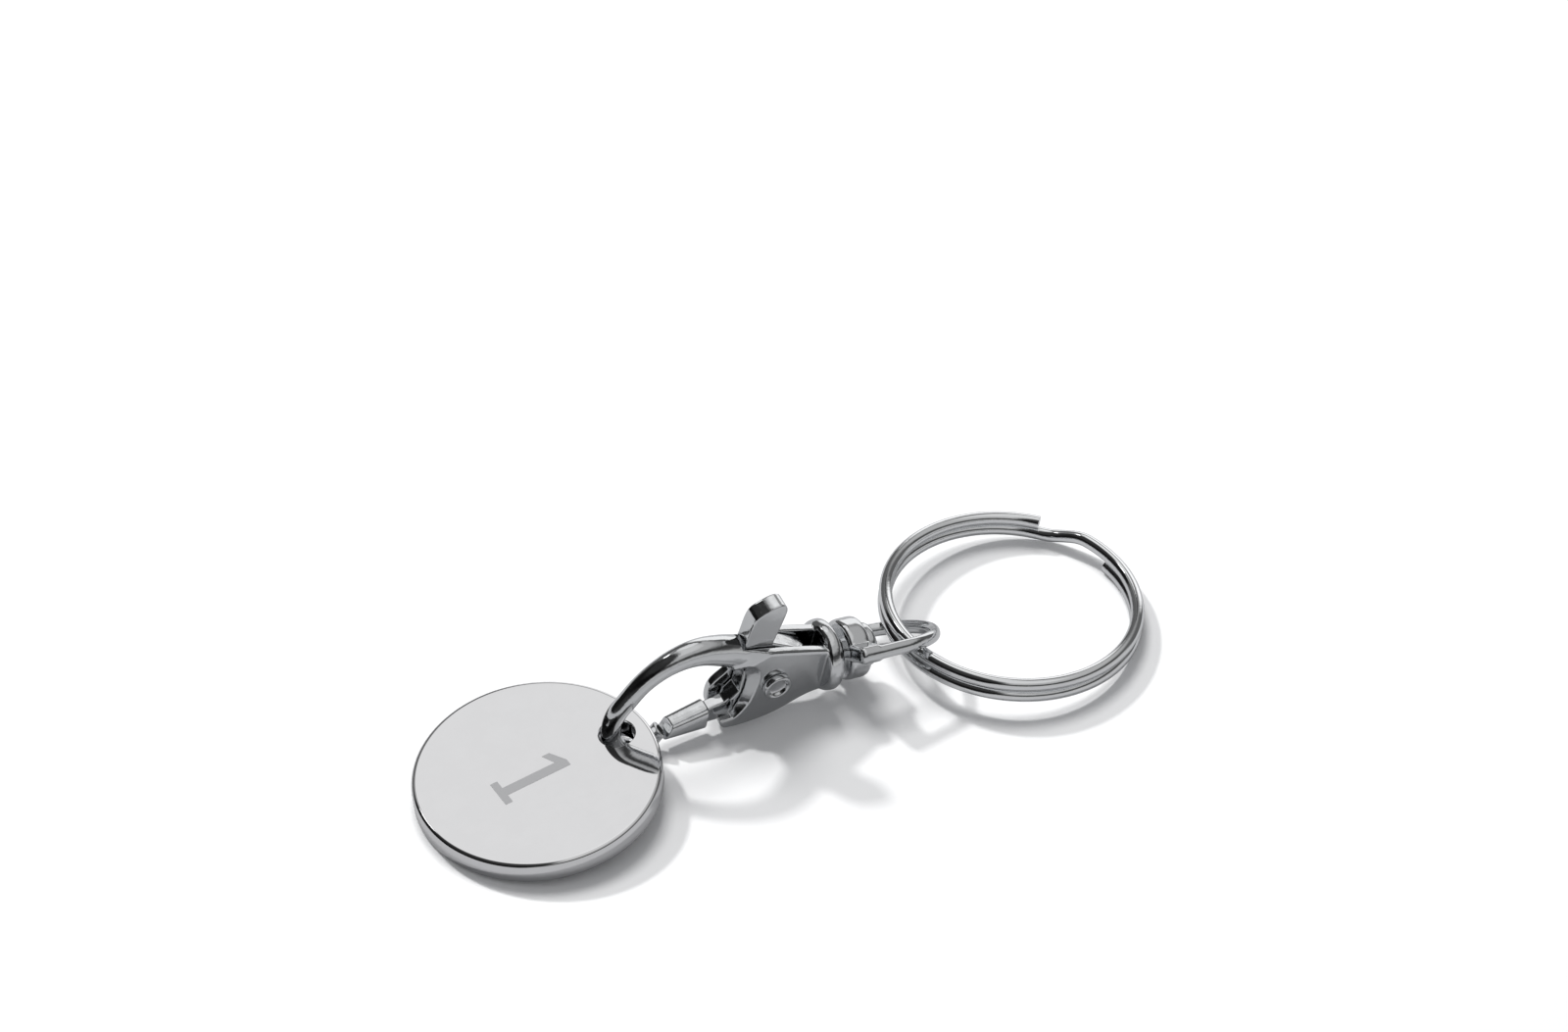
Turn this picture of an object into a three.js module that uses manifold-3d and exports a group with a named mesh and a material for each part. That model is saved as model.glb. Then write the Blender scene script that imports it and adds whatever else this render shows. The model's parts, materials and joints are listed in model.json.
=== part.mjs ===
// Trolley coin keyring: a coin disc on a swivel lobster clasp with a split ring.
// Millimetres, +Z up. The keyring lies on the floor with its length along +X, coin first.
// The clasp has a frame of its own: x runs from the hook to the bail, z points to the thumb piece.
import * as THREE from "three";
import { mergeVertices } from "three/addons/utils/BufferGeometryUtils.js";
import Module from "manifold-3d";

const wasm = await Module();
wasm.setup();

const { PI, sin, cos, asin, acos, hypot } = Math;
const radians = THREE.MathUtils.degToRad;
const fullTurn = 360;

// How the pieces lie at rest, in degrees
const claspYaw = 0.1;
const claspPitch = 8.6;
const claspRoll = -7.35;
const bailRoll = 39;

// Clearances
const runningGap = 0.08;
const sideGap = 0.1;
const collarGap = 0.15;
const seatGap = 0.3;
const overrun = 2;

// Coin
const coinDiameter = 23.25;
const coinThickness = 2.3;
const coinEdgeRadius = 0.6;
const coinHoleDiameter = 3.3;
const coinHoleWall = 1.45;
const coinHoleChamfer = 0.2;
const coinSlackX = 0.38;
const coinSlackY = -0.38;
const coinTurn = 2.5;

// Hook body: two cheeks, the spine that becomes the hook, the collar and the swivel stud
const bodyWidth = 3.8;
const bodyEdgeRadius = 0.35;
const channelWidth = 1.95;
const cheekLength = 11.4;
const cheekTop = 4.75;
const cheekBottom = 5.1;
const channelEnd = 1.3;
const channelFloor = 0.8;
const rootFront = 10.7;
const spineReach = 19;
const spineRise = 4.7;
const spineWidth = 3;
const spineThickness = 3.3;
const hookWireDiameter = 1.9;
const hookTipThickness = 1;
const hookEndWidth = 5.9;
const hookEndHeight = 8.1;
const hookEndDrop = 2.9;
const hookTipAngle = -33;
const collarDiameter = 6.8;
const collarFront = 0.9;
const collarBack = 0.35;
const collarEdgeRadius = 0.4;
const neckLength = 0.75;
const studDiameter = 2.4;
const studHeadDiameter = 4.1;
const studHeadLength = 1;

// Lever: thumb piece, hub, spring shelf and gate in one piece
const pivotSetback = 6.3;
const pivotDrop = 0.2;
const leverHeight = 9.55;
const leverRear = 2.95;
const leverEdgeRadius = 0.12;
const leverHubWall = 0.75;
const shelfHeight = 2.45;
const shelfUnderside = 1;
const shelfLip = 0.4;
const gateRootGap = 0.75;
const gateTipGap = 0.36;
const gateTipSlant = 0.55;
const gateRootWidth = 2.1;
const gateTipWidth = 1.75;
const gateRootHeight = 1.95;
const gateTipHeight = 1.4;
const gateTipDrop = 5.1;
const gateRootDrop = 4.15;

// Lever rivet
const rivetDiameter = 1.7;
const rivetHeadDiameter = 2.75;
const rivetHeadLength = 0.65;
const rivetHeadRadius = 0.2;
const rivetDimpleDiameter = 1.9;
const rivetDimpleDepth = 0.4;

// Lever spring
const springWireDiameter = 0.3;
const springDiameter = 1.5;
const springTurns = 3;
const springSetback = 3.75;

// Swivel bail
const hubDiameter = 5.8;
const hubLength = 2.35;
const hubEdgeRadius = 0.35;
const earRadius = 0.9;
const bailWidth = 10.6;
const bailInside = 6.95;
const bailWireWidth = 1.05;
const bailWireHeight = 1.3;

// Split ring
const ringDiameter = 25;
const ringWireDiameter = 1.1;
const ringTurnGap = 0.42;
const ringStation = 7.7;
const ringSlackY = -0.2;
const ringUpperCut = 48.5;
const ringKinkStart = 24;
const ringKinkEnd = 46;
const ringLowerCut = 11;

// Facets round each kind of curve
const coinFacets = 96;
const roundFacets = 24;
const wireFacets = 16;
const earFacets = 8;
const cornerFacets = 3;
const springFacets = 5;
const springStepsPerTurn = 8;
const ringFacets = 10;
const ringStepsPerTurn = 40;

const metal = (color, roughness) => new THREE.MeshStandardMaterial({ color, metalness: 1, roughness });

const point = (x, y) => new THREE.Vector2(x, y);

const placeShares = (shares, length, height) => shares.map(([x, y]) => point(x * length, y * height));

const toSolid = (geometry) => {
  const bare = new THREE.BufferGeometry();
  bare.setAttribute("position", geometry.getAttribute("position"));
  if (geometry.index) bare.setIndex(geometry.index);
  const merged = mergeVertices(bare, 1e-4);
  return new wasm.Manifold(
    new wasm.Mesh({
      numProp: 3,
      vertProperties: new Float32Array(merged.attributes.position.array),
      triVerts: new Uint32Array(merged.index.array),
    }),
  );
};

const toMesh = (name, solid, material) => {
  const { numProp, vertProperties, triVerts } = solid.getMesh();
  const geometry = new THREE.BufferGeometry();
  const buffer = new THREE.InterleavedBuffer(vertProperties, numProp);
  const corners = new THREE.InterleavedBufferAttribute(buffer, 3, 0);
  const positions = new Float32Array(3 * corners.count);
  for (let i = 0; i < corners.count; i++) {
    positions.set([corners.getX(i), corners.getY(i), corners.getZ(i)], 3 * i);
  }
  geometry.setAttribute("position", new THREE.BufferAttribute(positions, 3));
  geometry.setIndex(new THREE.BufferAttribute(triVerts, 1));
  geometry.computeVertexNormals();
  const mesh = new THREE.Mesh(geometry, material);
  mesh.name = name;
  return mesh;
};

// A closed profile of [radius, height] points turned about Z
const turned = (profile, facets) => {
  const points = profile.map(([radius, height]) => point(radius, height));
  return toSolid(new THREE.LatheGeometry(points, facets).rotateX(PI / 2));
};

// An outline in the x-z plane, made into a plate of the given width centred on y = 0
const plate = (outline, width, edge) => {
  const depth = width - 2 * edge;
  const geometry = new THREE.ExtrudeGeometry(new THREE.Shape(outline), {
    depth,
    bevelEnabled: edge > 0,
    bevelThickness: edge,
    bevelSize: edge,
    bevelOffset: -edge,
    bevelSegments: cornerFacets,
  });
  return toSolid(geometry.translate(0, 0, -depth / 2).rotateX(PI / 2));
};

// A shape in the y-z plane, made into a slab that runs from one x to another
const slab = (shape, from, to, edge, facets) => {
  const geometry = new THREE.ExtrudeGeometry(shape, {
    depth: to - from - 2 * edge,
    curveSegments: facets,
    bevelEnabled: edge > 0,
    bevelThickness: edge,
    bevelSize: edge,
    bevelOffset: -edge,
    bevelSegments: cornerFacets,
  });
  return toSolid(geometry.rotateX(PI / 2).rotateZ(PI / 2).translate(from + edge, 0, 0));
};

// A share of the half size, bent from a circle towards a box by a power under one
const bent = (value, power) => Math.sign(value) * Math.abs(value) ** power;

// Sections on a path, joined into one closed tube.
// Each station holds a centre, the two unit directions of its section and its two half sizes.
const loft = (stations, facets, power = 1) => {
  const positions = [];
  const index = [];
  const [first, second] = stations;
  const travel = new THREE.Vector3().subVectors(second.centre, first.centre);
  const sense = Math.sign(first.side.clone().cross(first.rise).dot(travel));
  for (const { centre, side, rise, halfSide, halfRise } of stations) {
    for (let i = 0; i < facets; i++) {
      const turn = (2 * PI * i) / facets;
      const corner = centre.clone();
      corner.addScaledVector(side, halfSide * bent(cos(turn), power));
      corner.addScaledVector(rise, halfRise * bent(sin(turn), power) * sense);
      positions.push(corner.x, corner.y, corner.z);
    }
  }
  for (let row = 0; row + 1 < stations.length; row++) {
    for (let i = 0; i < facets; i++) {
      const next = (i + 1) % facets;
      const a = row * facets + i;
      const b = row * facets + next;
      index.push(a, b, b + facets, a, b + facets, a + facets);
    }
  }
  const last = (stations.length - 1) * facets;
  for (let i = 1; i + 1 < facets; i++) {
    index.push(0, i + 1, i, last, last + i, last + i + 1);
  }
  const geometry = new THREE.BufferGeometry();
  geometry.setAttribute("position", new THREE.Float32BufferAttribute(positions, 3));
  geometry.setIndex(index);
  return toSolid(geometry);
};

// The least gap between the turns of a wire, measured from each station to each piece of wire past half a turn
const leastTurnGap = (stations, wire, stepsPerTurn) => {
  const nearest = new THREE.Vector3();
  let least = Infinity;
  stations.forEach(({ centre }, i) => {
    for (let j = i + stepsPerTurn / 2; j + 1 < stations.length; j++) {
      const piece = new THREE.Line3(stations[j].centre, stations[j + 1].centre);
      least = Math.min(least, piece.closestPointToPoint(centre, true, nearest).distanceTo(centre));
    }
  });
  return (least - wire).toFixed(2);
};

// Stations along a curve that stays in one plane: half sizes come from functions of the share travelled
const planarStations = (curve, steps, planeNormal, halfSide, halfRise) =>
  Array.from({ length: steps + 1 }, (_, i) => {
    const share = i / steps;
    const tangent = curve.getTangentAt(share);
    return {
      centre: curve.getPointAt(share),
      side: planeNormal,
      rise: new THREE.Vector3().crossVectors(tangent, planeNormal).normalize(),
      halfSide: halfSide(share),
      halfRise: halfRise(share),
    };
  });

// Hook: the spine's points are shares of its reach and rise, and its end is an ellipse
const spineShares = [
  [-0.416, 0.553],
  [-0.484, 0.67],
  [-0.558, 0.777],
  [-0.653, 0.915],
  [-0.753, 1.0],
  [-0.842, 0.968],
  [-0.942, 0.798],
  [-1.039, 0.447],
  [-1.111, -0.021],
];
const hookCentre = new THREE.Vector3(-spineReach, 0, -hookEndDrop);
const hookPoint = (degrees) =>
  new THREE.Vector3(
    hookCentre.x + (hookEndWidth / 2) * cos(radians(degrees)),
    0,
    hookCentre.z + (hookEndHeight / 2) * sin(radians(degrees)),
  );
const hookEndStart = 158;
const hookEndSteps = 9;
const hookSweep = fullTurn + hookTipAngle - hookEndStart;
const spinePoints = spineShares.map(([x, z]) => new THREE.Vector3(x * spineReach, 0, z * spineRise));
const endPoints = Array.from({ length: hookEndSteps + 1 }, (_, i) =>
  hookPoint(hookEndStart + (hookSweep * i) / hookEndSteps),
);
const hookCurve = new THREE.CatmullRomCurve3([...spinePoints, ...endPoints], false, "centripetal");
const hookSteps = 52;
const taperShare = 0.52;
const across = new THREE.Vector3(0, 1, 0);
const upward = new THREE.Vector3(0, 0, 1);

const tipTaperShare = 0.85;
const taper = (root, wire, tip) => (share) => {
  const thin = THREE.MathUtils.smoothstep(share, 0, taperShare);
  const thinner = THREE.MathUtils.smoothstep(share, tipTaperShare, 1);
  return THREE.MathUtils.lerp(THREE.MathUtils.lerp(root, wire, thin), tip, thinner) / 2;
};

const makeHook = () =>
  loft(
    planarStations(
      hookCurve,
      hookSteps,
      across,
      taper(spineWidth, hookWireDiameter, hookWireDiameter),
      taper(spineThickness, hookWireDiameter, hookTipThickness),
    ),
    wireFacets,
  );

// Cheeks: the outline's points are shares of the cheek length, and of its height above or below the axis
const cheekTopShares = [
  [0.0, 0.484],
  [-0.14, 0.568],
  [-0.351, 0.705],
  [-0.702, 0.905],
  [-0.956, 1.0],
  [-0.982, 0.632],
  [-0.877, 0.105],
];
const cheekBottomShares = [
  [-0.86, -0.02],
  [-0.974, -0.314],
  [-1.0, -0.471],
  [-0.991, -0.804],
  [-0.947, -0.971],
  [-0.868, -1.0],
  [-0.526, -0.892],
  [-0.202, -0.569],
  [0.0, -0.49],
];
// The near cheek is cut back in a hollow at the mouth
const mouthTopShares = [
  [-0.851, 0.411],
  [-0.789, 0.337],
  [-0.75, 0.105],
];
const mouthBottomShares = [
  [-0.754, -0.137],
  [-0.774, -0.408],
  [-0.82, -0.608],
  [-0.862, -0.716],
  [-0.905, -0.745],
  [-1.1, -0.745],
];

const makeCheeks = () => {
  const outline = [
    ...placeShares(cheekTopShares, cheekLength, cheekTop),
    ...placeShares(cheekBottomShares, cheekLength, cheekBottom),
  ];
  const mouth = [
    point(-cheekLength - overrun, cheekTop * mouthTopShares[0][1]),
    ...placeShares(mouthTopShares, cheekLength, cheekTop),
    ...placeShares(mouthBottomShares, cheekLength, cheekBottom),
    point(-cheekLength - overrun, cheekBottom * mouthBottomShares.at(-1)[1]),
  ];
  const mouthCut = plate(mouth, bodyWidth, 0).translate([0, -(bodyWidth + channelWidth) / 2, 0]);
  return plate(outline, bodyWidth, bodyEdgeRadius).subtract(mouthCut);
};

// Channel for the lever: its floor follows the cheeks' bottom edge
const channelShares = [
  [-0.702, -0.918],
  [-0.202, -0.569],
];
const channelRoofShare = 0.12;
const [floorFront, floorRear] = placeShares(channelShares, cheekLength, cheekBottom);
const floorSlope = (floorRear.y - floorFront.y) / (floorRear.x - floorFront.x);
const channelFloorAt = (x) => floorFront.y + (x - floorFront.x) * floorSlope + channelFloor;

const makeChannel = () => {
  const front = -cheekLength - overrun;
  const top = cheekTop + overrun;
  const bottom = -cheekBottom - overrun;
  const roof = cheekTop * channelRoofShare;
  const outline = [
    point(-channelEnd, top),
    point(seatGap - rootFront, top),
    point(seatGap - rootFront, roof),
    point(front, roof),
    point(front, bottom),
    point(floorFront.x, bottom),
    point(floorFront.x, channelFloorAt(floorFront.x)),
    point(-channelEnd, channelFloorAt(-channelEnd)),
  ];
  return plate(outline, channelWidth, 0);
};

const hubStart = collarBack + neckLength;
const hubEnd = hubStart + hubLength;
const headStart = hubEnd + collarGap;
const headEnd = headStart + studHeadLength;

const makeStud = () => {
  const neck = studDiameter / 2;
  const head = studHeadDiameter / 2;
  const dome = studHeadLength / 4;
  const profile = [
    [0, 0],
    [neck, 0],
    [neck, headStart],
    [head, headStart],
    [head, headEnd - dome],
    [head - dome, headEnd],
    [0, headEnd],
  ];
  return turned(profile, roundFacets).rotate([0, 90, 0]);
};

const pivot = new THREE.Vector3(-pivotSetback, 0, -pivotDrop);

// A pin along y through the lever's pivot
const pivotPin = (profile) => turned(profile, roundFacets).rotate([90, 0, 0]).translate(pivot.toArray());

const makeHookBody = () => {
  const reach = bodyWidth / 2 + overrun;
  const bore = rivetDiameter / 2 + runningGap / 2;
  const boreCut = pivotPin([
    [0, -reach],
    [bore, -reach],
    [bore, reach],
    [0, reach],
  ]);
  const collarShape = new THREE.Shape().absarc(0, 0, collarDiameter / 2, 0, 2 * PI);
  const collar = slab(collarShape, -collarFront, collarBack, collarEdgeRadius, roundFacets / 2);
  const body = makeCheeks().add(makeHook()).subtract(makeChannel()).subtract(boreCut);
  return body.add(collar).add(makeStud());
};

// Lever: thumb shares follow its height and the pivot, arm shares follow the gate arm's reach
const thumbShares = [
  [-0.393, 0.534],
  [-0.346, 0.869],
  [-0.241, 0.948],
  [-0.14, 0.992],
  [-0.088, 1.0],
  [-0.038, 0.978],
  [-0.01, 0.92],
  [-0.012, 0.85],
  [-0.042, 0.649],
  [-0.073, 0.461],
];
const armTopShares = [
  [1.0, 0.8],
  [0.86, 0.66],
  [0.77, 0.33],
  [0.77, -0.2],
];
const armBottomShares = [
  [0.63, 0.771],
  [0.683, 0.88],
  [0.757, 1.12],
  [0.897, 1.217],
  [1.0, 1.241],
];

const gateArmReach = cheekLength + gateRootGap;
const gateTopReach = spineReach - (hookEndWidth / 2) * cos(radians(hookTipAngle)) - gateTipGap;
const gateBottomReach = gateTopReach - gateTipSlant;
const hubArcStart = 8;
const hubArcSweep = 98;
const hubArcSteps = 4;
const gateSquareness = 0.45;

const makeLever = () => {
  const hub = rivetDiameter / 2 + leverHubWall;
  const thumb = thumbShares.map(([x, z]) => point(x * leverHeight - pivotSetback, z * leverHeight));
  const shelf = [
    point(-leverRear - shelfLip / 2, shelfHeight),
    point(-leverRear, shelfHeight - shelfLip),
    point(-leverRear - shelfLip / 2, shelfUnderside),
    point(-springSetback - springDiameter / 2 - seatGap, shelfUnderside),
  ];
  const hubArc = Array.from({ length: hubArcSteps + 1 }, (_, i) => {
    const turn = radians(hubArcStart - (hubArcSweep * i) / hubArcSteps);
    return point(pivot.x + hub * cos(turn), pivot.z + hub * sin(turn));
  });
  const armBottom = placeShares(armBottomShares, -gateArmReach, -gateRootDrop);
  const armTop = placeShares(armTopShares, -gateArmReach, -gateRootDrop);
  const outline = [...thumb, ...shelf, ...hubArc, ...armBottom, ...armTop].reverse();
  const lever = plate(outline, channelWidth - 2 * sideGap, leverEdgeRadius);
  const gateCentre = (gateTopReach + gateBottomReach) / 2;
  const slant = new THREE.Vector3(gateTopReach - gateBottomReach, 0, -gateTipHeight);
  const gate = loft(
    [
      {
        centre: new THREE.Vector3(-gateCentre, 0, -gateTipDrop),
        side: across,
        rise: slant.clone().normalize(),
        halfSide: gateTipWidth / 2,
        halfRise: slant.length() / 2,
      },
      {
        centre: new THREE.Vector3(-gateArmReach, 0, -gateRootDrop),
        side: across,
        rise: upward.clone().negate(),
        halfSide: gateRootWidth / 2,
        halfRise: gateRootHeight / 2,
      },
    ],
    wireFacets,
    gateSquareness,
  );
  const reach = bodyWidth / 2;
  const bore = rivetDiameter / 2 + runningGap;
  const boreCut = pivotPin([
    [0, -reach],
    [bore, -reach],
    [bore, reach],
    [0, reach],
  ]);
  return lever.add(gate).subtract(boreCut);
};

const makeRivet = () => {
  const shank = rivetDiameter / 2;
  const head = rivetHeadDiameter / 2;
  const dimple = rivetDimpleDiameter / 2;
  const seat = bodyWidth / 2 + runningGap / 2;
  const end = seat + rivetHeadLength;
  const half = [
    [shank, seat],
    [head, seat],
    [head, end - rivetHeadRadius],
    [head - rivetHeadRadius, end],
    [dimple, end],
    [0, end - rivetDimpleDepth],
  ];
  const mirrored = half.map(([radius, height]) => [radius, -height]).reverse();
  return pivotPin([...mirrored, ...half]);
};

// Lever spring: a helix that stands on the channel floor under the lever's shelf
const makeSpring = () => {
  const floor = channelFloorAt(springDiameter / 2 - springSetback);
  const bottom = floor + seatGap + springWireDiameter / 2;
  const top = shelfUnderside - seatGap - springWireDiameter / 2;
  const coil = (springDiameter - springWireDiameter) / 2;
  const steps = springStepsPerTurn * springTurns;
  const stations = Array.from({ length: steps + 1 }, (_, i) => {
    const turn = (2 * PI * springTurns * i) / steps;
    const radial = new THREE.Vector3(cos(turn), sin(turn), 0);
    const height = THREE.MathUtils.lerp(bottom, top, i / steps);
    return {
      centre: radial.clone().multiplyScalar(coil).add(new THREE.Vector3(-springSetback, 0, height)),
      side: radial,
      rise: upward,
      halfSide: springWireDiameter / 2,
      halfRise: springWireDiameter / 2,
    };
  });
  const gap = leastTurnGap(stations, springWireDiameter, springStepsPerTurn);
  console.log("lever spring, least gap between turns:", gap, "mm");
  return loft(stations, springFacets);
};

// Swivel bail: a hub with two ears, and a loop of oval wire
const bowSteps = 16;
const makeBail = () => {
  const hub = hubDiameter / 2;
  const legOffset = (bailWidth - bailWireWidth) / 2;
  const earOffset = bailWidth / 2 - earRadius;
  const lean = acos((hub - earRadius) / earOffset);
  const base = new THREE.Shape();
  base.absarc(0, 0, hub, lean, PI - lean, false);
  base.absarc(-earOffset, 0, earRadius, PI - lean, PI + lean, false);
  base.absarc(0, 0, hub, PI + lean, 2 * PI - lean, false);
  base.absarc(earOffset, 0, earRadius, -lean, lean, false);
  const hubSlab = slab(base, hubStart, hubEnd, hubEdgeRadius, earFacets);
  const bowCentre = hubEnd + bailInside + bailWireWidth / 2 - legOffset;
  const legStart = hubEnd - hubLength / 2;
  const bowPoints = Array.from({ length: bowSteps + 1 }, (_, i) => {
    const turn = PI * (0.5 - i / bowSteps);
    return new THREE.Vector3(bowCentre + legOffset * cos(turn), legOffset * sin(turn), 0);
  });
  const farRoot = new THREE.Vector3(legStart, legOffset, 0);
  const nearRoot = new THREE.Vector3(legStart, -legOffset, 0);
  const centres = [farRoot, ...bowPoints, nearRoot];
  const stations = centres.map((centre) => {
    const onBow = Math.max(centre.x - bowCentre, 0);
    const outward = new THREE.Vector3(onBow, centre.y, 0).normalize();
    return {
      centre,
      side: outward,
      rise: upward,
      halfSide: bailWireWidth / 2,
      halfRise: bailWireHeight / 2,
    };
  });
  const loop = loft(stations, wireFacets);
  const bore = studDiameter / 2 + runningGap;
  const boreCut = turned(
    [
      [0, 0],
      [bore, 0],
      [bore, hubEnd + overrun],
      [0, hubEnd + overrun],
    ],
    roundFacets,
  ).rotate([0, 90, 0]);
  return hubSlab.add(loop).subtract(boreCut);
};

// Split ring: two turns of round wire, joined by a kink from the upper turn down to the lower one
const ringRadius = (ringDiameter - ringWireDiameter) / 2;
const ringPitch = ringWireDiameter + ringTurnGap;
const kinkSteps = 6;

const makeRing = () => {
  const stretch = (from, to) => {
    const steps = Math.max(1, Math.round(((to - from) / fullTurn) * ringStepsPerTurn));
    return Array.from({ length: steps }, (_, i) => from + ((to - from) * i) / steps);
  };
  const kinkFrom = ringKinkStart + fullTurn;
  const kinkTo = ringKinkEnd + fullTurn;
  const kink = Array.from({ length: kinkSteps }, (_, i) => kinkFrom + ((kinkTo - kinkFrom) * i) / kinkSteps);
  const end = ringLowerCut + 2 * fullTurn;
  const angles = [...stretch(ringUpperCut, kinkFrom), ...kink, ...stretch(kinkTo, end), end];
  const stations = angles.map((degrees) => {
    const turn = radians(degrees);
    const drop = THREE.MathUtils.smoothstep(degrees, kinkFrom, kinkTo);
    const radial = new THREE.Vector3(cos(turn), sin(turn), 0);
    return {
      centre: radial.clone().multiplyScalar(ringRadius).add(new THREE.Vector3(0, 0, ringPitch * (0.5 - drop))),
      side: radial,
      rise: upward,
      halfSide: ringWireDiameter / 2,
      halfRise: ringWireDiameter / 2,
    };
  });
  const gap = leastTurnGap(stations, ringWireDiameter, ringStepsPerTurn);
  console.log("split ring, least gap between turns:", gap, "mm");
  return loft(stations, ringFacets);
};

// Coin with a rounded edge and a chamfered hole; its centre is the origin
const coinRadius = coinDiameter / 2;
const coinHoleOffset = coinRadius - coinHoleWall - coinHoleDiameter / 2;
const makeCoin = () => {
  const half = coinThickness / 2;
  const edge = [];
  const edgeSteps = 8;
  for (let i = 0; i <= edgeSteps; i++) {
    const turn = PI * (i / edgeSteps - 0.5);
    const level = Math.sign(i - edgeSteps / 2) * (half - coinEdgeRadius);
    edge.push([coinRadius - coinEdgeRadius * (1 - cos(turn)), level + coinEdgeRadius * sin(turn)]);
  }
  const disc = turned([[0, -half], ...edge, [0, half]], coinFacets);
  const hole = coinHoleDiameter / 2;
  const holeCut = turned(
    [
      [0, -half - coinHoleChamfer],
      [hole + 2 * coinHoleChamfer, -half - coinHoleChamfer],
      [hole, -half + coinHoleChamfer],
      [hole, half - coinHoleChamfer],
      [hole + 2 * coinHoleChamfer, half + coinHoleChamfer],
      [0, half + coinHoleChamfer],
    ],
    roundFacets,
  );
  return disc.subtract(holeCut.translate([coinHoleOffset, 0, 0]));
};

// Clasp at rest: the lowest point of the hook touches the floor
const clasp = new THREE.Group();
clasp.rotation.set(-radians(claspRoll), radians(claspPitch), radians(claspYaw), "ZYX");
clasp.updateMatrix();
const axisX = new THREE.Vector3(1, 0, 0).applyQuaternion(clasp.quaternion);
const axisZ = new THREE.Vector3(0, 0, 1).applyQuaternion(clasp.quaternion);
const hookDepth = hypot((hookEndWidth / 2) * axisX.z, (hookEndHeight / 2) * axisZ.z) + hookWireDiameter / 2;
const hookCentreRise = hookCentre.x * axisX.z + hookCentre.z * axisZ.z;
clasp.position.set(0, 0, hookDepth - hookCentreRise);
clasp.updateMatrixWorld(true);

clasp.add(toMesh("hook_body", makeHookBody(), metal(0xb9bbbe, 0.2)));
clasp.add(toMesh("gate_lever", makeLever(), metal(0xc3c5c8, 0.2)));
clasp.add(toMesh("lever_rivet", makeRivet(), metal(0xcccdd0, 0.2)));
clasp.add(toMesh("lever_spring", makeSpring(), metal(0x9a9ca0, 0.3)));

const bail = toMesh("swivel_bail", makeBail(), metal(0xc3c5c8, 0.18));
bail.rotation.x = -radians(bailRoll);
clasp.add(bail);

// Coin: the hook's wire passes through its hole, and its far edge rests on the floor
const wireAngle = 214;
const slack = new THREE.Vector3(coinSlackX, coinSlackY, 0);
const holeCentre = hookPoint(wireAngle).applyMatrix4(clasp.matrixWorld).add(slack);
const edgeReach = coinHoleOffset * cos(radians(coinTurn)) + coinRadius - coinEdgeRadius;
const coinTilt = asin((holeCentre.z - coinThickness / 2) / edgeReach);
const coinGroup = new THREE.Group();
coinGroup.position.copy(holeCentre);
coinGroup.rotation.set(0, -coinTilt, radians(coinTurn), "XYZ");
const coin = toMesh("coin", makeCoin(), metal(0xdcdddf, 0.12));
coin.position.x = -coinHoleOffset;
coinGroup.add(coin);

// Split ring: its near wire passes between the bail's legs, and its far side rests on the floor
const crossing = new THREE.Vector3(ringStation, ringSlackY, 0).applyMatrix4(clasp.matrixWorld);
const ringBandHalf = (ringPitch + ringWireDiameter) / 2;
const ringTilt = asin((crossing.z - ringBandHalf) / (2 * ringRadius));
const ringGroup = new THREE.Group();
ringGroup.position.copy(crossing);
ringGroup.rotation.y = ringTilt;
const ring = toMesh("split_ring", makeRing(), metal(0xb4b6b9, 0.18));
ring.position.x = ringRadius;
ringGroup.add(ring);

// The whole keyring, moved so that the origin is the middle of its footprint on the floor
const laid = new THREE.Group();
laid.add(clasp, coinGroup, ringGroup);
laid.updateMatrixWorld(true);
const extent = new THREE.Box3().setFromObject(laid, true);
const middle = extent.getCenter(new THREE.Vector3());
laid.position.set(-middle.x, -middle.y, -extent.min.z);

const keyring = new THREE.Group();
keyring.add(laid);

export default keyring;
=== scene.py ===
import json
import math

import bmesh
import bpy
from mathutils import Matrix, Vector, kdtree


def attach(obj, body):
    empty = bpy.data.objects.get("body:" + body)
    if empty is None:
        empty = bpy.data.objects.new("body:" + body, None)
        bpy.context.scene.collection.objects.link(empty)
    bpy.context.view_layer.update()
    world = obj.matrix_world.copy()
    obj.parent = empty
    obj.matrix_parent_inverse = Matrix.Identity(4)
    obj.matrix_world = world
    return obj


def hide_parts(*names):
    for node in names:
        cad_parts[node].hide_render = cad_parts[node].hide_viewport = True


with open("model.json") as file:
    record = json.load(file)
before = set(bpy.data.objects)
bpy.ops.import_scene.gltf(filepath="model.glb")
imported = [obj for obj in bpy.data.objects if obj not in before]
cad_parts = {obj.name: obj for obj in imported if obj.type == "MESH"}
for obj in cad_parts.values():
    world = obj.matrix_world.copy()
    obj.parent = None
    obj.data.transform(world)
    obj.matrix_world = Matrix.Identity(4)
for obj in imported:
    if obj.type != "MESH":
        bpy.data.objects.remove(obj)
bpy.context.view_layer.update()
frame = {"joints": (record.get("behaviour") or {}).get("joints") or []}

# ---------------------------------------------------------------- the place
# The keyring lies on a white table in a pale room, with two lamps behind it.
# The camera looks down at it with a long lens.


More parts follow.
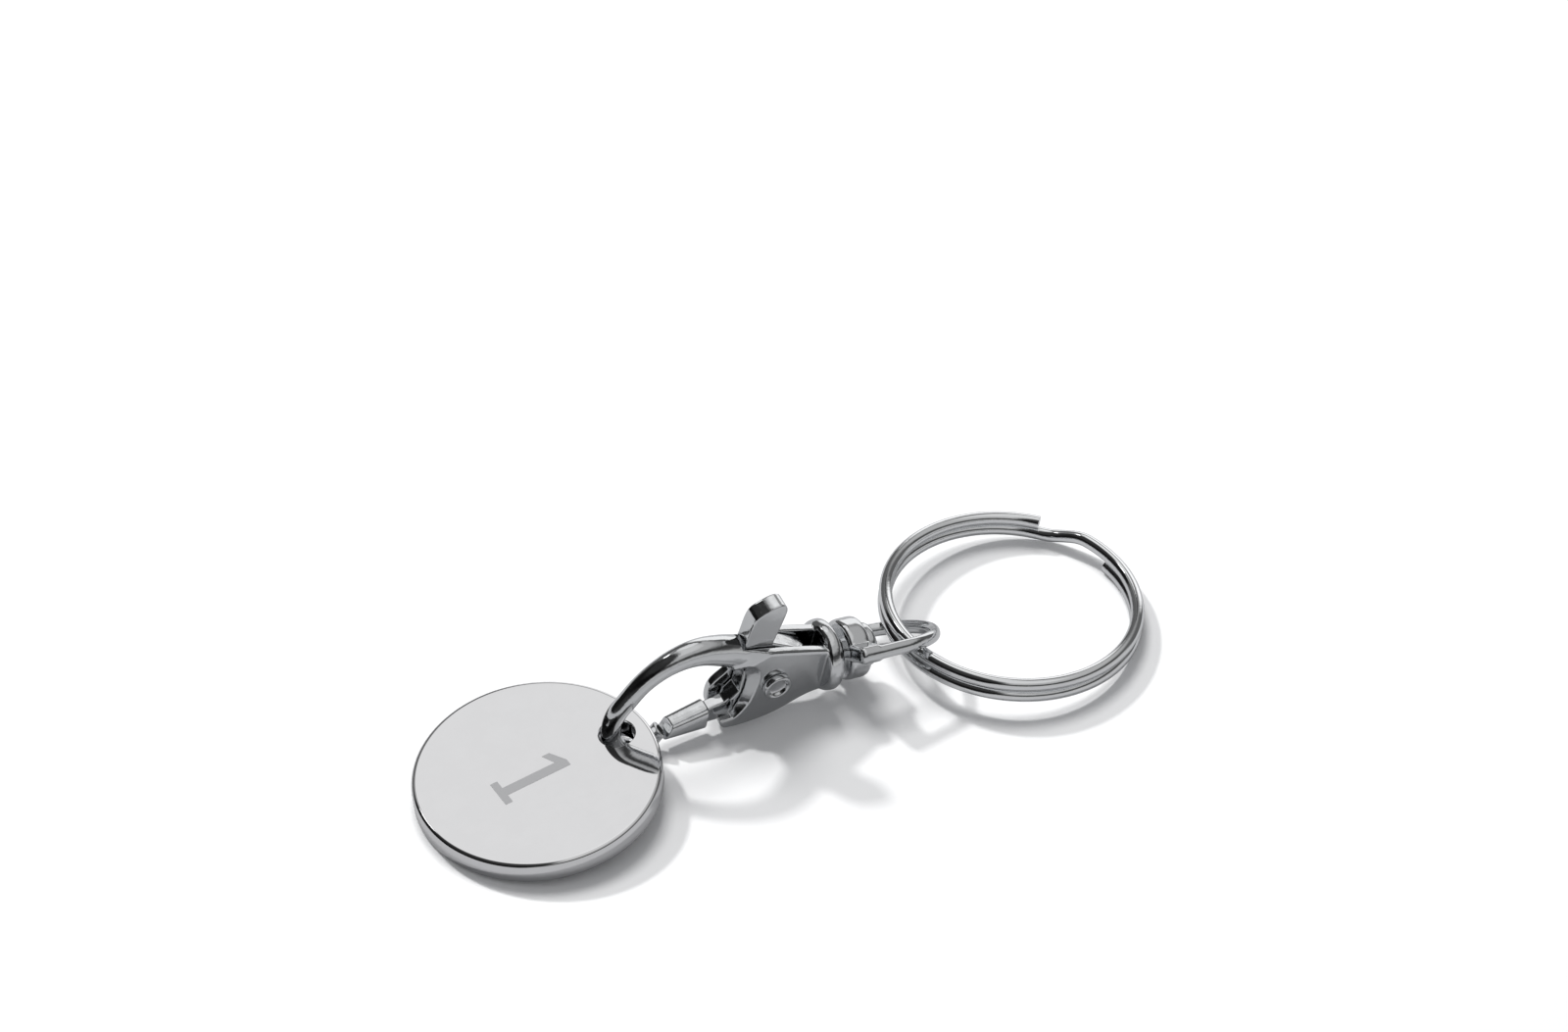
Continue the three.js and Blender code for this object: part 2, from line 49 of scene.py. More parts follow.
class Sum:
    """A shader socket that Python's own operators add Math nodes to."""

    def __init__(self, tree, socket):
        self.tree = tree
        self.socket = socket

    def math(self, operation, other, clamp=False):
        node = self.tree.nodes.new("ShaderNodeMath")
        node.operation = operation
        node.use_clamp = clamp
        for place, value in enumerate((self, other)):
            if isinstance(value, Sum):
                self.tree.links.new(value.socket, node.inputs[place])
            else:
                node.inputs[place].default_value = value
        return Sum(self.tree, node.outputs[0])

    def __add__(self, other):
        return self.math("ADD", other)

    def __mul__(self, other):
        return self.math("MULTIPLY", other)

    def __sub__(self, other):
        return self.math("SUBTRACT", other)

    def __rsub__(self, other):
        return (self * -1.0) + other

    def step(self, low, high):
        """0 below low, 1 above high, with a soft rise between them."""
        share = (self - low).math("DIVIDE", high - low, clamp=True)
        return share * share * (3.0 - share * 2.0)


class Shader:
    """A node tree that makes each node in one call."""

    def __init__(self, tree):
        self.tree = tree
        tree.nodes.clear()

    def node(self, kind, settings=None, **sockets):
        """A new node. A socket is named with _ for its spaces, and takes a value or a socket."""
        node = self.tree.nodes.new(kind)
        for name, value in (settings or {}).items():
            setattr(node, name, value)
        for name, value in sockets.items():
            socket = node.inputs[name.replace("_", " ")]
            if isinstance(value, Sum):
                self.tree.links.new(value.socket, socket)
            elif isinstance(value, bpy.types.NodeSocket):
                self.tree.links.new(value, socket)
            else:
                socket.default_value = value
        return node

    def mix(self, share, first, second):
        """The first shader where share is 0, the second where it is 1."""
        mixed = self.node("ShaderNodeMixShader", Fac=share)
        self.tree.links.new(first.outputs[0], mixed.inputs[1])
        self.tree.links.new(second.outputs[0], mixed.inputs[2])
        return mixed

    def number(self, socket):
        return Sum(self.tree, socket)


def towards(turn, rise):
    """The direction at that azimuth and elevation, in degrees."""
    turn, rise = math.radians(turn), math.radians(rise)
    level = math.cos(rise)
    return Vector((math.cos(turn) * level, math.sin(turn) * level, math.sin(rise)))


AZIMUTH = -27.697
ELEVATION = 43.216
CAMERA_DISTANCE = 0.93
LOOK_AT = Vector((0.01246, 0.02313, 0))
back = towards(AZIMUTH - 90, ELEVATION)
camera_data = bpy.data.cameras.new("camera")
camera_data.sensor_width = 36
camera_data.lens = 224.9
camera_data.clip_end = 10
camera = bpy.data.objects.new("camera", camera_data)
bpy.context.scene.collection.objects.link(camera)
camera.location = LOOK_AT + back * CAMERA_DISTANCE
camera.rotation_euler = back.to_track_quat("Z", "Y").to_euler()
bpy.context.scene.camera = camera

bpy.context.scene.view_settings.view_transform = "Standard"

# The table top is white paper. Where polished metal mirrors it, it is painted a mid grey instead,
# as painted shade in the reflection.
PAPER = (0.97, 0.97, 0.97, 1)
PAPER_SHADED_IN_MIRRORS = (0.48, 0.48, 0.485, 1)
bpy.ops.mesh.primitive_plane_add(size=6, location=(0, 0, 0))
table = bpy.context.object
table.name = "table"
table_paint = bpy.data.materials.new("table_paint")
table_paint.use_nodes = True
paint = Shader(table_paint.node_tree)
mirror_ray = paint.node("ShaderNodeLightPath").outputs["Is Glossy Ray"]
paper = paint.node("ShaderNodeBsdfDiffuse", Color=PAPER)
# Painted shade: mirror rays see the paper darkened to a mid grey, while the camera sees it white
paper_shaded_in_mirrors = paint.node("ShaderNodeBsdfDiffuse", Color=PAPER_SHADED_IN_MIRRORS)
table_top = paint.mix(mirror_ray, paper, paper_shaded_in_mirrors)
paint.node("ShaderNodeOutputMaterial", Surface=table_top.outputs[0])
table.data.materials.append(table_paint)


def lamp(name, direction, distance, size, power):
    """A round lamp that shines at the middle of the table, and that metal doesn't mirror."""
    data = bpy.data.lights.new(name, "AREA")
    data.shape = "DISK"
    data.size = size
    data.energy = power
    made = bpy.data.objects.new(name, data)
    bpy.context.scene.collection.objects.link(made)
    made.location = direction * distance
    made.rotation_euler = direction.to_track_quat("Z", "Y").to_euler()
    made.visible_glossy = False


# The low lamp throws the long shadows, and the high soft one the short dark ones.
LOW_LAMP = towards(107, 47.5)
lamp("low_lamp", LOW_LAMP, 0.8, 0.075, 3.2)
lamp("high_lamp", towards(80, 68), 0.6, 0.25, 1.6)

# The room is white to the camera, and pale where it lights the table. Polished metal sees a pale
# ceiling, a bright sheet with a dark frame behind the keyring, a window on the right, the image
# of the low lamp, a dark belt above the front wall, and a dark room on the left.
ROOM_LIGHT = (0.96, 0.975, 1.0, 1)
ROOM_STRENGTH = 0.39
world = bpy.data.worlds.new("room")
world.use_nodes = True
bpy.context.scene.world = world
room = Shader(world.node_tree)
way = room.node("ShaderNodeTexCoord").outputs["Generated"]
split = room.node("ShaderNodeSeparateXYZ", Vector=way)
east, north, height = (room.number(socket) for socket in split.outputs)


def facing(direction):
    """1 towards a direction, 0 square to it and -1 away from it."""
    return east * direction.x + north * direction.y + height * direction.z


front = facing(towards(-98, 0)).step(-0.1, 0.2)
walls = (1.0 - height.step(-0.05, 0.5)) * front * 0.5
belt = height.step(0.22, 0.3) * (1.0 - height.step(0.46, 0.6)) * front
ceiling = height.step(0.5, 0.72) * 0.36 + height.step(0.82, 0.92) * 0.22
to_sheet = facing(towards(70, 54))
sheet = to_sheet.step(0.965, 0.975)
sheet_frame = (to_sheet.step(0.94, 0.95) - sheet) * (1.0 - height.step(0.74, 0.82))
window = facing(towards(48, 8)).step(0.88, 0.94)
bulb = facing(LOW_LAMP).step(0.9965, 0.9985) * 3.0
dark_left = facing(towards(177, 30)).step(0.5, 0.64)
brightness = ceiling + sheet * 0.36 + walls + window + 0.12
brightness = brightness * (1.0 - belt * 0.6) * (1.0 - dark_left * 0.93)
brightness = brightness * (1.0 - sheet_frame * 0.75) + bulb
grey = room.node("ShaderNodeCombineColor", Red=brightness, Green=brightness, Blue=brightness)
path = room.node("ShaderNodeLightPath")
ambient = room.node("ShaderNodeBackground", Color=ROOM_LIGHT, Strength=ROOM_STRENGTH)
mirrored = room.node("ShaderNodeBackground", Color=grey.outputs[0], Strength=1.0)
plain_white = room.node("ShaderNodeBackground", Color=(1, 1, 1, 1), Strength=1.0)
unseen = room.mix(path.outputs["Is Glossy Ray"], ambient, mirrored)
shown = room.mix(path.outputs["Is Camera Ray"], unseen, plain_white)
room.node("ShaderNodeOutputWorld", Surface=shown.outputs[0])

# ---------------------------------------------------------------- coin
# A trolley token: a blanked and nickel-plated disc with a tumbled, rounded edge.
# It hangs on the hook's wire by a punched hole, and both of its faces are mirror bright.

MM = 0.001
joints = {joint["name"]: joint for joint in frame["joints"]}


def placement(joint, x_axis, z_axis):
    """From millimetres in a piece's own frame to metres in the part's, at a joint."""
    x_axis = Vector(x_axis).normalized()
    z_axis = Vector(z_axis).normalized()
    y_axis = z_axis.cross(x_axis)
    turn = Matrix((x_axis, y_axis, z_axis)).transposed().to_4x4()
    return Matrix.Translation(Vector(joints[joint]["pos_m"])) @ turn @ Matrix.Scale(MM, 4)


def on_axis(joint):
    """The placement of a flat piece on the joint's axis, with its X in the part's x-z plane."""
    axis = Vector(joints[joint]["axis"])
    return placement(joint, Vector((axis.z, 0, -axis.x)), axis)


def circle(radius, height, sides, middle=0):
    """Points round Z at one height, with middle as the x of their centre."""
    turns = [2 * math.pi * i / sides for i in range(sides)]
    return [Vector((middle + radius * math.cos(t), radius * math.sin(t), height)) for t in turns]


def both_ways(half):
    """A profile of (radius, height) with its mirror image before it."""
    return [(radius, -height) for radius, height in reversed(half) if height] + half


def skin(name, rings):
    """A closed form, extruded ring by ring from a filled circle."""
    bpy.ops.object.select_all(action="DESELECT")
    bpy.ops.mesh.primitive_circle_add(vertices=len(rings[0]), radius=1, fill_type="NGON")
    piece = bpy.context.object
    piece.name = name
    for vertex, place in zip(piece.data.vertices, rings[0]):
        vertex.co = place
    bpy.ops.object.mode_set(mode="EDIT")
    bpy.ops.mesh.select_all(action="SELECT")
    for before, after in zip(rings, rings[1:]):
        bpy.ops.mesh.extrude_region_move()
        nearest = kdtree.KDTree(len(before))
        for i, place in enumerate(before):
            nearest.insert(place, i)
        nearest.balance()
        mesh = bmesh.from_edit_mesh(piece.data)
        for vertex in mesh.verts:
            if vertex.select:
                vertex.co = after[nearest.find(vertex.co)[1]]
        bmesh.update_edit_mesh(piece.data)
    bpy.ops.mesh.select_all(action="SELECT")
    bpy.ops.mesh.normals_make_consistent(inside=False)
    bpy.ops.object.mode_set(mode="OBJECT")
    return piece


def apply(piece, kind, **settings):
    """Adds a modifier to a piece and applies it."""
    bpy.ops.object.select_all(action="DESELECT")
    bpy.context.view_layer.objects.active = piece
    piece.select_set(True)
    modifier = piece.modifiers.new("step", kind)
    for name, value in settings.items():
        setattr(modifier, name, value)
    bpy.ops.object.modifier_apply(modifier=modifier.name)


def combine(piece, tool, operation):
    """Joins tool to piece or cuts piece with it, and uses the tool up."""
    apply(piece, "BOOLEAN", operation=operation, solver="EXACT", object=tool)
    bpy.data.objects.remove(tool)


def lay(piece, matrix, body, material, angle):
    """Puts a finished piece in its place, smooths its shading, and gives it its body and finish."""
    bpy.ops.object.select_all(action="DESELECT")
    bpy.context.view_layer.objects.active = piece
    piece.select_set(True)
    piece.matrix_world = matrix
    bpy.ops.object.transform_apply(location=True, rotation=True, scale=True)
    bpy.ops.object.shade_smooth_by_angle(angle=math.radians(angle))
    piece.data.materials.clear()
    piece.data.materials.append(material)
    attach(piece, body)


def polished(name, colour, roughness, wave, wave_scale, streaks=0.0):
    """Plated metal. A low wave and fine streaks along X stand for the polishing by hand."""
    material = bpy.data.materials.new(name)
    material.use_nodes = True
    shader = Shader(material.node_tree)
    spot = shader.node("ShaderNodeTexCoord").outputs["Object"]

    def noise(place, scale, detail, spread):
        kind = "ShaderNodeTexNoise"
        made = shader.node(kind, Vector=place, Scale=scale, Detail=detail, Roughness=spread)
        return shader.number(made.outputs["Fac"])

    # Clouds a few millimetres across, a fine grain, the low wave and the streaks
    cloud = noise(spot, 420.0, 3.0, 0.6)
    grain = noise(spot, 5200.0, 2.0, 0.5)
    swell = noise(spot, wave_scale, 1.0, 0.4)
    along = shader.node("ShaderNodeMapping", Vector=spot, Scale=(500, 3200, 3200))
    rubbed = noise(along.outputs[0], 1.0, 3.0, 0.6)
    rough = cloud * (roughness * 0.9) + grain * (roughness * 0.5) + roughness * 0.3
    tint = shader.node("ShaderNodeMix", {"data_type": "RGBA"})
    shade = cloud.step(0.35, 0.7) * 0.04 + 0.96
    shader.tree.links.new(shade.socket, tint.inputs[0])
    tint.inputs[6].default_value = tuple(c * 0.6 for c in colour) + (1,)
    tint.inputs[7].default_value = colour + (1,)
    relief = swell * wave + grain * (wave * 0.05) + rubbed * streaks
    bump = shader.node("ShaderNodeBump", Height=relief, Strength=1.0, Distance=0.001)
    metal = shader.node(
        "ShaderNodeBsdfPrincipled",
        Base_Color=tint.outputs[2],
        Metallic=1.0,
        Roughness=rough,
        Normal=bump.outputs[0],
    )
    shader.node("ShaderNodeOutputMaterial", Surface=metal.outputs[0])
    return material


# The coin's frame has the middle of its hole as its origin, and the coin's centre on -X.
COIN_RADIUS = 11.625
COIN_HALF = 1.15
COIN_EDGE = 0.42
COIN_FLAT = COIN_RADIUS - COIN_EDGE - 0.4
COIN_SIDES = 192
COIN_TURN = 2.5
HOLE_TO_CENTRE = 8.525

coin_place = on_axis("coin_swing") @ Matrix.Rotation(math.radians(COIN_TURN), 4, "Z")
coin_rings = [circle(COIN_FLAT, -COIN_HALF, COIN_SIDES, -HOLE_TO_CENTRE)]
for i in range(-8, 9):
    turn = math.pi * i / 16
    radius = COIN_RADIUS - COIN_EDGE * (1 - math.cos(turn))
    level = math.copysign(COIN_HALF - COIN_EDGE, i) if i else 0
    level += COIN_EDGE * math.sin(turn)
    coin_rings.append(circle(radius, level, COIN_SIDES, -HOLE_TO_CENTRE))
coin_rings.append(circle(COIN_FLAT, COIN_HALF, COIN_SIDES, -HOLE_TO_CENTRE))
coin = skin("coin_disc", coin_rings)
half_hole = [(1.65, 0.92), (1.69, 1.04), (1.76, 1.13), (1.88, 1.24), (2.0, 1.4)]
hole = skin("hole", [circle(radius, level, 64) for radius, level in both_ways(half_hole)])
combine(coin, hole, "DIFFERENCE")
coin_metal = polished("coin_metal", (0.83, 0.83, 0.84), 0.03, 0.006, 160.0)
lay(coin, coin_place, "token", coin_metal, 30)
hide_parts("coin")

# ---------------------------------------------------------------- printed numeral
# The coin's face carries a plain figure one, printed in a thin satin grey. It is read with the
# hole above it.

NUMERAL_THICK = 0.012
NUMERAL_SUNK = 0.01
NUMERAL_X = -HOLE_TO_CENTRE - 0.6
NUMERAL_COLOUR = (0.36, 0.36, 0.365, 1)

# Outline of the figure: x to its right, y up, towards the hole
figure = [
    (-1.1, -3.7), (1.9, -3.7), (1.9, -2.95), (0.95, -2.95), (0.95, 3.7), (0.2, 3.7),
    (-1.45, 2.75), (-1.45, 1.95), (-0.1, 2.6), (-0.1, -2.95), (-1.1, -2.95),
]
numeral_levels = (COIN_HALF - NUMERAL_SUNK, COIN_HALF + NUMERAL_THICK)
numeral_rings = [[Vector((NUMERAL_X + y, -x, z)) for x, y in figure] for z in numeral_levels]
numeral = skin("numeral", numeral_rings)
numeral_ink = bpy.data.materials.new("numeral_ink")
numeral_ink.use_nodes = True
ink = Shader(numeral_ink.node_tree)
ink_spot = ink.node("ShaderNodeTexCoord").outputs["Object"]
ink_grain = ink.node("ShaderNodeTexNoise", Vector=ink_spot, Scale=3500.0, Detail=3.0)
ink_rough = ink.number(ink_grain.outputs["Fac"]) * 0.2 + 0.45
ink_skin = ink.node("ShaderNodeBsdfPrincipled", Base_Color=NUMERAL_COLOUR, Roughness=ink_rough)
ink.node("ShaderNodeOutputMaterial", Surface=ink_skin.outputs[0])
lay(numeral, coin_place, "token", numeral_ink, 30)

# ---------------------------------------------------------------- hook body
# One zinc casting, polished and nickel plated: two cheeks with a channel between them, the spine
# that runs on into the hook, a collar across the rear, and the stud that the swivel turns on.

# The clasp's frame: X runs back along the swivel's axis, Y across the cheeks, Z to the thumb piece.
X = Vector((1, 0, 0))
Y = Vector((0, 1, 0))
Z = Vector((0, 0, 1))
swivel_axis = Vector(joints["swivel_spin"]["axis"]).normalized()
rivet_axis = Vector(joints["lever_pivot"]["axis"]).normalized()
clasp_place = placement("swivel_spin", swivel_axis, swivel_axis.cross(rivet_axis))


def curve_through(points, steps):
    """Points on a centripetal Catmull-Rom curve, with steps to each span."""
    points = [Vector(p) for p in points]
    knots = [points[0] * 2 - points[1], *points, points[-1] * 2 - points[-2]]
    curve = []
    for p in zip(knots, knots[1:], knots[2:], knots[3:]):
        t = [0.0]
        for a, b in zip(p, p[1:]):
            t.append(t[-1] + (b - a).length ** 0.5)
        for i in range(steps):
            x = t[1] + (t[2] - t[1]) * i / steps
            level = [p[k].lerp(p[k + 1], (x - t[k]) / (t[k + 1] - t[k])) for k in range(3)]
            level = [level[k].lerp(level[k + 1], (x - t[k]) / (t[k + 2] - t[k])) for k in range(2)]
            curve.append(level[0].lerp(level[1], (x - t[1]) / (t[2] - t[1])))
    return curve + [points[-1]]


def evenly(points, count):
    """The same path with its points at equal steps."""
    far = [0.0]
    for a, b in zip(points, points[1:]):
        far.append(far[-1] + (b - a).length)
    even = []
    k = 0
    for i in range(count + 1):
        reach = far[-1] * i / count
        while k < len(points) - 2 and far[k + 1] < reach:
            k += 1
        even.append(points[k].lerp(points[k + 1], (reach - far[k]) / (far[k + 1] - far[k])))
    return even


def ease(x, low, high):
    """0 below low, 1 above high, with a soft rise between them."""
    x = min(max((x - low) / (high - low), 0), 1)
    return x * x * (3 - 2 * x)


def section(centre, side, rise, half_side, half_rise, sides, power=1.0):
    """An oval in the plane of side and rise, bent towards a box by a power under one."""
    ring = []
    for i in range(sides):
        turn = 2 * math.pi * i / sides
        c, s = math.cos(turn), math.sin(turn)
        reach = side * half_side * math.copysign(abs(c) ** power, c)
        ring.append(centre + reach + rise * half_rise * math.copysign(abs(s) ** power, s))
    return ring


def at_y(outline, y):
    """An outline of (x, z) pairs, as points at one depth."""
    return [Vector((x, y, z)) for x, z in outline]


def plate(name, outline, half, edge=0.0):
    """An outline in the x-z plane, made into a plate with rounded rims."""
    piece = skin(name, [at_y(outline, -half), at_y(outline, half)])
    if edge:
        limit = math.radians(40)
        apply(piece, "BEVEL", width=edge, segments=4, limit_method="ANGLE", angle_limit=limit)
    return piece


def cast(piece, voxel=0.08, rounds=6):
    """Melts a piece's parts into one skin, as a casting comes out of its mould and the tumbler."""
    apply(piece, "REMESH", mode="VOXEL", voxel_size=voxel)
    apply(piece, "SMOOTH", factor=0.5, iterations=rounds)


def round_swivel(name, profile, sides=64):
    """A profile of (x, radius) turned about the swivel's axis."""
    return skin(name, [section(Vector((x, 0, 0)), Y, Z, r, r, sides) for x, r in profile])


RIVET_X = -6.3
RIVET_Z = -0.2


def round_rivet(name, profile, sides):
    """A profile of (radius, y) turned about the rivet's axis."""
    rings = [section(Vector((RIVET_X, y, RIVET_Z)), X, Z, r, r, sides) for r, y in profile]
    return skin(name, rings)


CHEEK_HALF = 1.9
cheek_top = [(0, 2.3), (-1.6, 2.7), (-4, 3.35), (-8, 4.3), (-10.9, 4.75)]
cheek_front = [
    (-11.2, 3.0), (-10.0, 0.5), (-9.8, -0.1), (-11.1, -1.6), (-11.4, -2.4), (-11.3, -4.1),
    (-10.8, -4.95), (-9.9, -5.1), (-6.0, -4.55), (-2.3, -2.9), (0, -2.5),
]
cheeks = curve_through(cheek_top, 6) + curve_through(cheek_front, 6)
body = plate("hook_casting", cheeks, CHEEK_HALF, 0.35)

# The cheeks' upper front is planed off at a slant, deeper forwards and upwards
for side in (-1, 1):
    facet = []
    for x, z in ((-5.0, 5.14), (-5.0, 6.5), (-13.5, 6.5), (-13.5, 1.215)):
        depth = (-0.42 * (x + 9.2) + 0.909 * (z - 3.2)) * 0.5
        facet.append(Vector((x, side * (CHEEK_HALF - depth), z)))
    outside = [point + Y * side * 3 for point in facet]
    combine(body, skin("plane_off", [facet, outside]), "DIFFERENCE")

# The hook: the spine runs into an oval that comes back under it, and thins towards its end
HOOK_STEPS = 150
OVAL_CENTRE = Vector((-19, 0, -2.9))
OVAL_HALF = (2.95, 4.05)
spine = [
    (-7.9, 2.6), (-9.2, 3.15), (-10.6, 3.65), (-12.4, 4.3), (-14.3, 4.7),
    (-16.0, 4.55), (-17.9, 3.75), (-19.75, 2.1), (-21.1, -0.1),
]
hook_knots = at_y(spine, 0)
for i in range(10):
    turn = math.radians(158 + 169 * i / 9)
    reach = Vector((OVAL_HALF[0] * math.cos(turn), 0, OVAL_HALF[1] * math.sin(turn)))
    hook_knots.append(OVAL_CENTRE + reach)
hook_path = evenly(curve_through(hook_knots, 12), HOOK_STEPS)
hook_rings = []
for i, centre in enumerate(hook_path):
    share = i / HOOK_STEPS
    travel = hook_path[min(i + 1, HOOK_STEPS)] - hook_path[max(i - 1, 0)]
    half_side = 1.62 - 0.67 * ease(share, 0, 0.52)
    half_rise = 1.65 - 0.7 * ease(share, 0, 0.52) - 0.45 * ease(share, 0.85, 1)
    rise = travel.normalized().cross(Y)
    hook_rings.append(section(centre, Y, rise, half_side, half_rise, 40))
combine(body, skin("hook", hook_rings), "UNION")

channel = [
    (-1.3, 6.8), (-10.4, 6.8), (-10.4, 0.57), (-13.4, 0.57),
    (-13.4, -7.1), (-8.0, -7.1), (-8.0, -3.88), (-1.3, -1.79),
]
combine(body, plate("channel", channel, 0.975), "DIFFERENCE")

# The mouth in the near cheek, which shows the lever's hub: its rim and its throat have as many
# points as each other, and the broad bevel runs between them
mouth_rim = [
    (-13.4, 3.3), (-10.6, 3.35), (-9.3, 3.0), (-8.5, 2.1), (-8.25, 0.9), (-8.35, -0.5),
    (-8.65, -2.0), (-9.3, -3.15), (-9.83, -3.75), (-10.4, -3.9), (-13.4, -3.9),
]
mouth_throat = [
    (-13.4, 1.9), (-11.5, 1.9), (-10.3, 1.9), (-9.6, 1.5), (-9.2, 0.5), (-9.15, -0.7),
    (-9.35, -2.2), (-9.7, -3.2), (-10.0, -3.6), (-10.5, -3.7), (-13.4, -3.7),
]
rim, throat = curve_through(mouth_rim, 5), curve_through(mouth_throat, 5)
mouth = [at_y(throat, -0.7), at_y(throat, -0.98), at_y(rim, -1.85), at_y(rim, -4)]
combine(body, skin("mouth", mouth), "DIFFERENCE")
combine(body, round_rivet("bore", [(0.9, -4), (0.9, 4)], 48), "DIFFERENCE")

collar = [
    (-1.25, 2.9), (-1.19, 3.1), (-1.02, 3.26), (-0.8, 3.35), (-0.5, 3.4),
    (-0.2, 3.4), (-0.05, 3.34), (0.12, 3.22), (0.22, 3.05), (0.25, 2.6),
]
stud = [(0, 1.05), (3.6, 1.05), (3.601, 2.05), (4.2, 2.05), (4.45, 1.9), (4.57, 1.55), (4.6, 1.1)]
combine(body, round_swivel("collar", collar), "UNION")
combine(body, round_swivel("stud", stud), "UNION")
cast(body)
clasp_metal = polished("clasp_metal", (0.72, 0.73, 0.74), 0.08, 0.07, 300.0, 0.008)
lay(body, clasp_place, "clasp", clasp_metal, 60)
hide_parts("hook_body")

# ---------------------------------------------------------------- gate lever
# A second casting: thumb piece, hub and gate in one. It rocks on the rivet between the cheeks,
# and its nose shuts the hook.

LEVER_HALF = 0.875
HUB_RADIUS = 1.6
NOSE_X = -12.15
NOSE_LENGTH = 3.78

thumb = [
    (-10.05, 5.1), (-9.6, 8.3), (-8.6, 9.05), (-7.64, 9.47), (-7.14, 9.55),
    (-6.66, 9.34), (-6.4, 8.79), (-6.41, 8.12), (-6.7, 6.2), (-7.0, 4.4),
]
shelf = [(-3.15, 2.45), (-2.95, 2.05), (-3.15, 1.0), (-4.8, 1.0)]
hub = []
for i in range(13):
    turn = math.radians(8 - 98 * i / 12)
    hub.append((RIVET_X + HUB_RADIUS * math.cos(turn), RIVET_Z + HUB_RADIUS * math.sin(turn)))
arm = [
    (-7.65, -3.2), (-8.3, -3.65), (-9.2, -4.65), (-10.9, -5.05), (NOSE_X, -5.15),
    (NOSE_X, -3.32), (-10.45, -2.74), (-9.36, -1.37), (-9.36, 0.83),
]
lever_outline = curve_through(thumb, 5) + shelf + hub + arm
lever = plate("lever_casting", lever_outline, LEVER_HALF, 0.14)

# The arm narrows to a neck where it comes out of the cheeks
neck = [(-12.12, -2.4), (-12.12, -5.6), (-9.7, -5.6), (-9.7, -2.4)]
for side in (-1, 1):
    neck_side = skin("neck_side", [at_y(neck, side * 0.58), at_y(neck, side * 2)])
    combine(lever, neck_side, "DIFFERENCE")

# The nose is a boxy wedge, which leans over and thins towards its tip
nose = []
for i in range(9):
    share = i / 8
    centre = Vector((NOSE_X - NOSE_LENGTH * i / 8, 0, -4.4 - 0.85 * share))
    lean = Vector((-0.38 * share, 0, -1)).normalized()
    nose.append(section(centre, Y, lean, 1.14 - 0.2 * share, 1.25 - 0.34 * share, 48, 0.55))
combine(lever, skin("nose", nose), "UNION")
combine(lever, round_rivet("lever_bore", [(0.93, -4), (0.93, 4)], 48), "DIFFERENCE")
cast(lever, 0.06, 4)
lever_metal = polished("lever_metal", (0.72, 0.73, 0.74), 0.09, 0.07, 400.0, 0.008)
lay(lever, clasp_place, "lever", lever_metal, 60)
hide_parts("gate_lever")

# ---------------------------------------------------------------- lever rivet
# A steel tube rivet through both cheeks. Its ends are spread into low heads, each with a dimple.

half_rivet = [
    (0.85, 0), (0.85, 1.93), (0.9, 1.94), (1.29, 1.95), (1.36, 2.01), (1.375, 2.1),
    (1.375, 2.42), (1.34, 2.53), (1.25, 2.59), (1.13, 2.6), (1.03, 2.55), (0.96, 2.43),
    (0.91, 2.28), (0.8, 2.19), (0.6, 2.16), (0.12, 2.15),
]
rivet = round_rivet("tube_rivet", both_ways(half_rivet), 64)
rivet_metal = polished("rivet_metal", (0.68, 0.69, 0.70), 0.12, 0.05, 700.0)
lay(rivet, clasp_place, "clasp", rivet_metal, 40)
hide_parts("lever_rivet")

# ---------------------------------------------------------------- lever spring
# A small compression spring that stands on the channel's floor. It pushes the lever's rear up,
# and so holds the gate shut.

COIL_RADIUS = 0.6
COIL_WIRE = 0.15
COIL_SIDES = 36
COIL_STEPS = 3 * COIL_SIDES
COIL_RISE = 2.42
coil_foot = Vector((-3.75, 0, -1.87))
coil_rings = []
for i in range(COIL_STEPS + 1):
    turn = 2 * math.pi * i / COIL_SIDES
    out = Vector((math.cos(turn), math.sin(turn), 0))
    centre = coil_foot + out * COIL_RADIUS + Z * (COIL_RISE * i / COIL_STEPS)
    coil_rings.append(section(centre, out, Z, COIL_WIRE, COIL_WIRE, 12))
spring = skin("lever_coil", coil_rings)
spring_metal = polished("spring_metal", (0.55, 0.56, 0.58), 0.3, 0.02, 900.0)
lay(spring, clasp_place, "clasp", spring_metal, 50)
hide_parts("lever_spring")

# ---------------------------------------------------------------- swivel bail
# A cast hub that turns on the stud, with a loop of oval wire whose legs run into its two ears.
# It lies rolled over against the clasp.

SWIVEL_RADIUS = 2.9
EAR_OUT = 4.4
EAR_RADIUS = 0.9
LEG_OUT = 4.775
BOW_X = 6.15
BAIL_TURN = -39

bail_place = clasp_place @ Matrix.Rotation(math.radians(BAIL_TURN), 4, "X")
swivel_hub = [
    (1.2, 2.45), (1.25, 2.68), (1.42, 2.84), (1.7, SWIVEL_RADIUS), (2.3, SWIVEL_RADIUS),
    (2.85, SWIVEL_RADIUS), (3.17, 2.86), (3.38, 2.72), (3.45, 2.5),
]
bail = round_swivel("bail_casting", swivel_hub, 72)

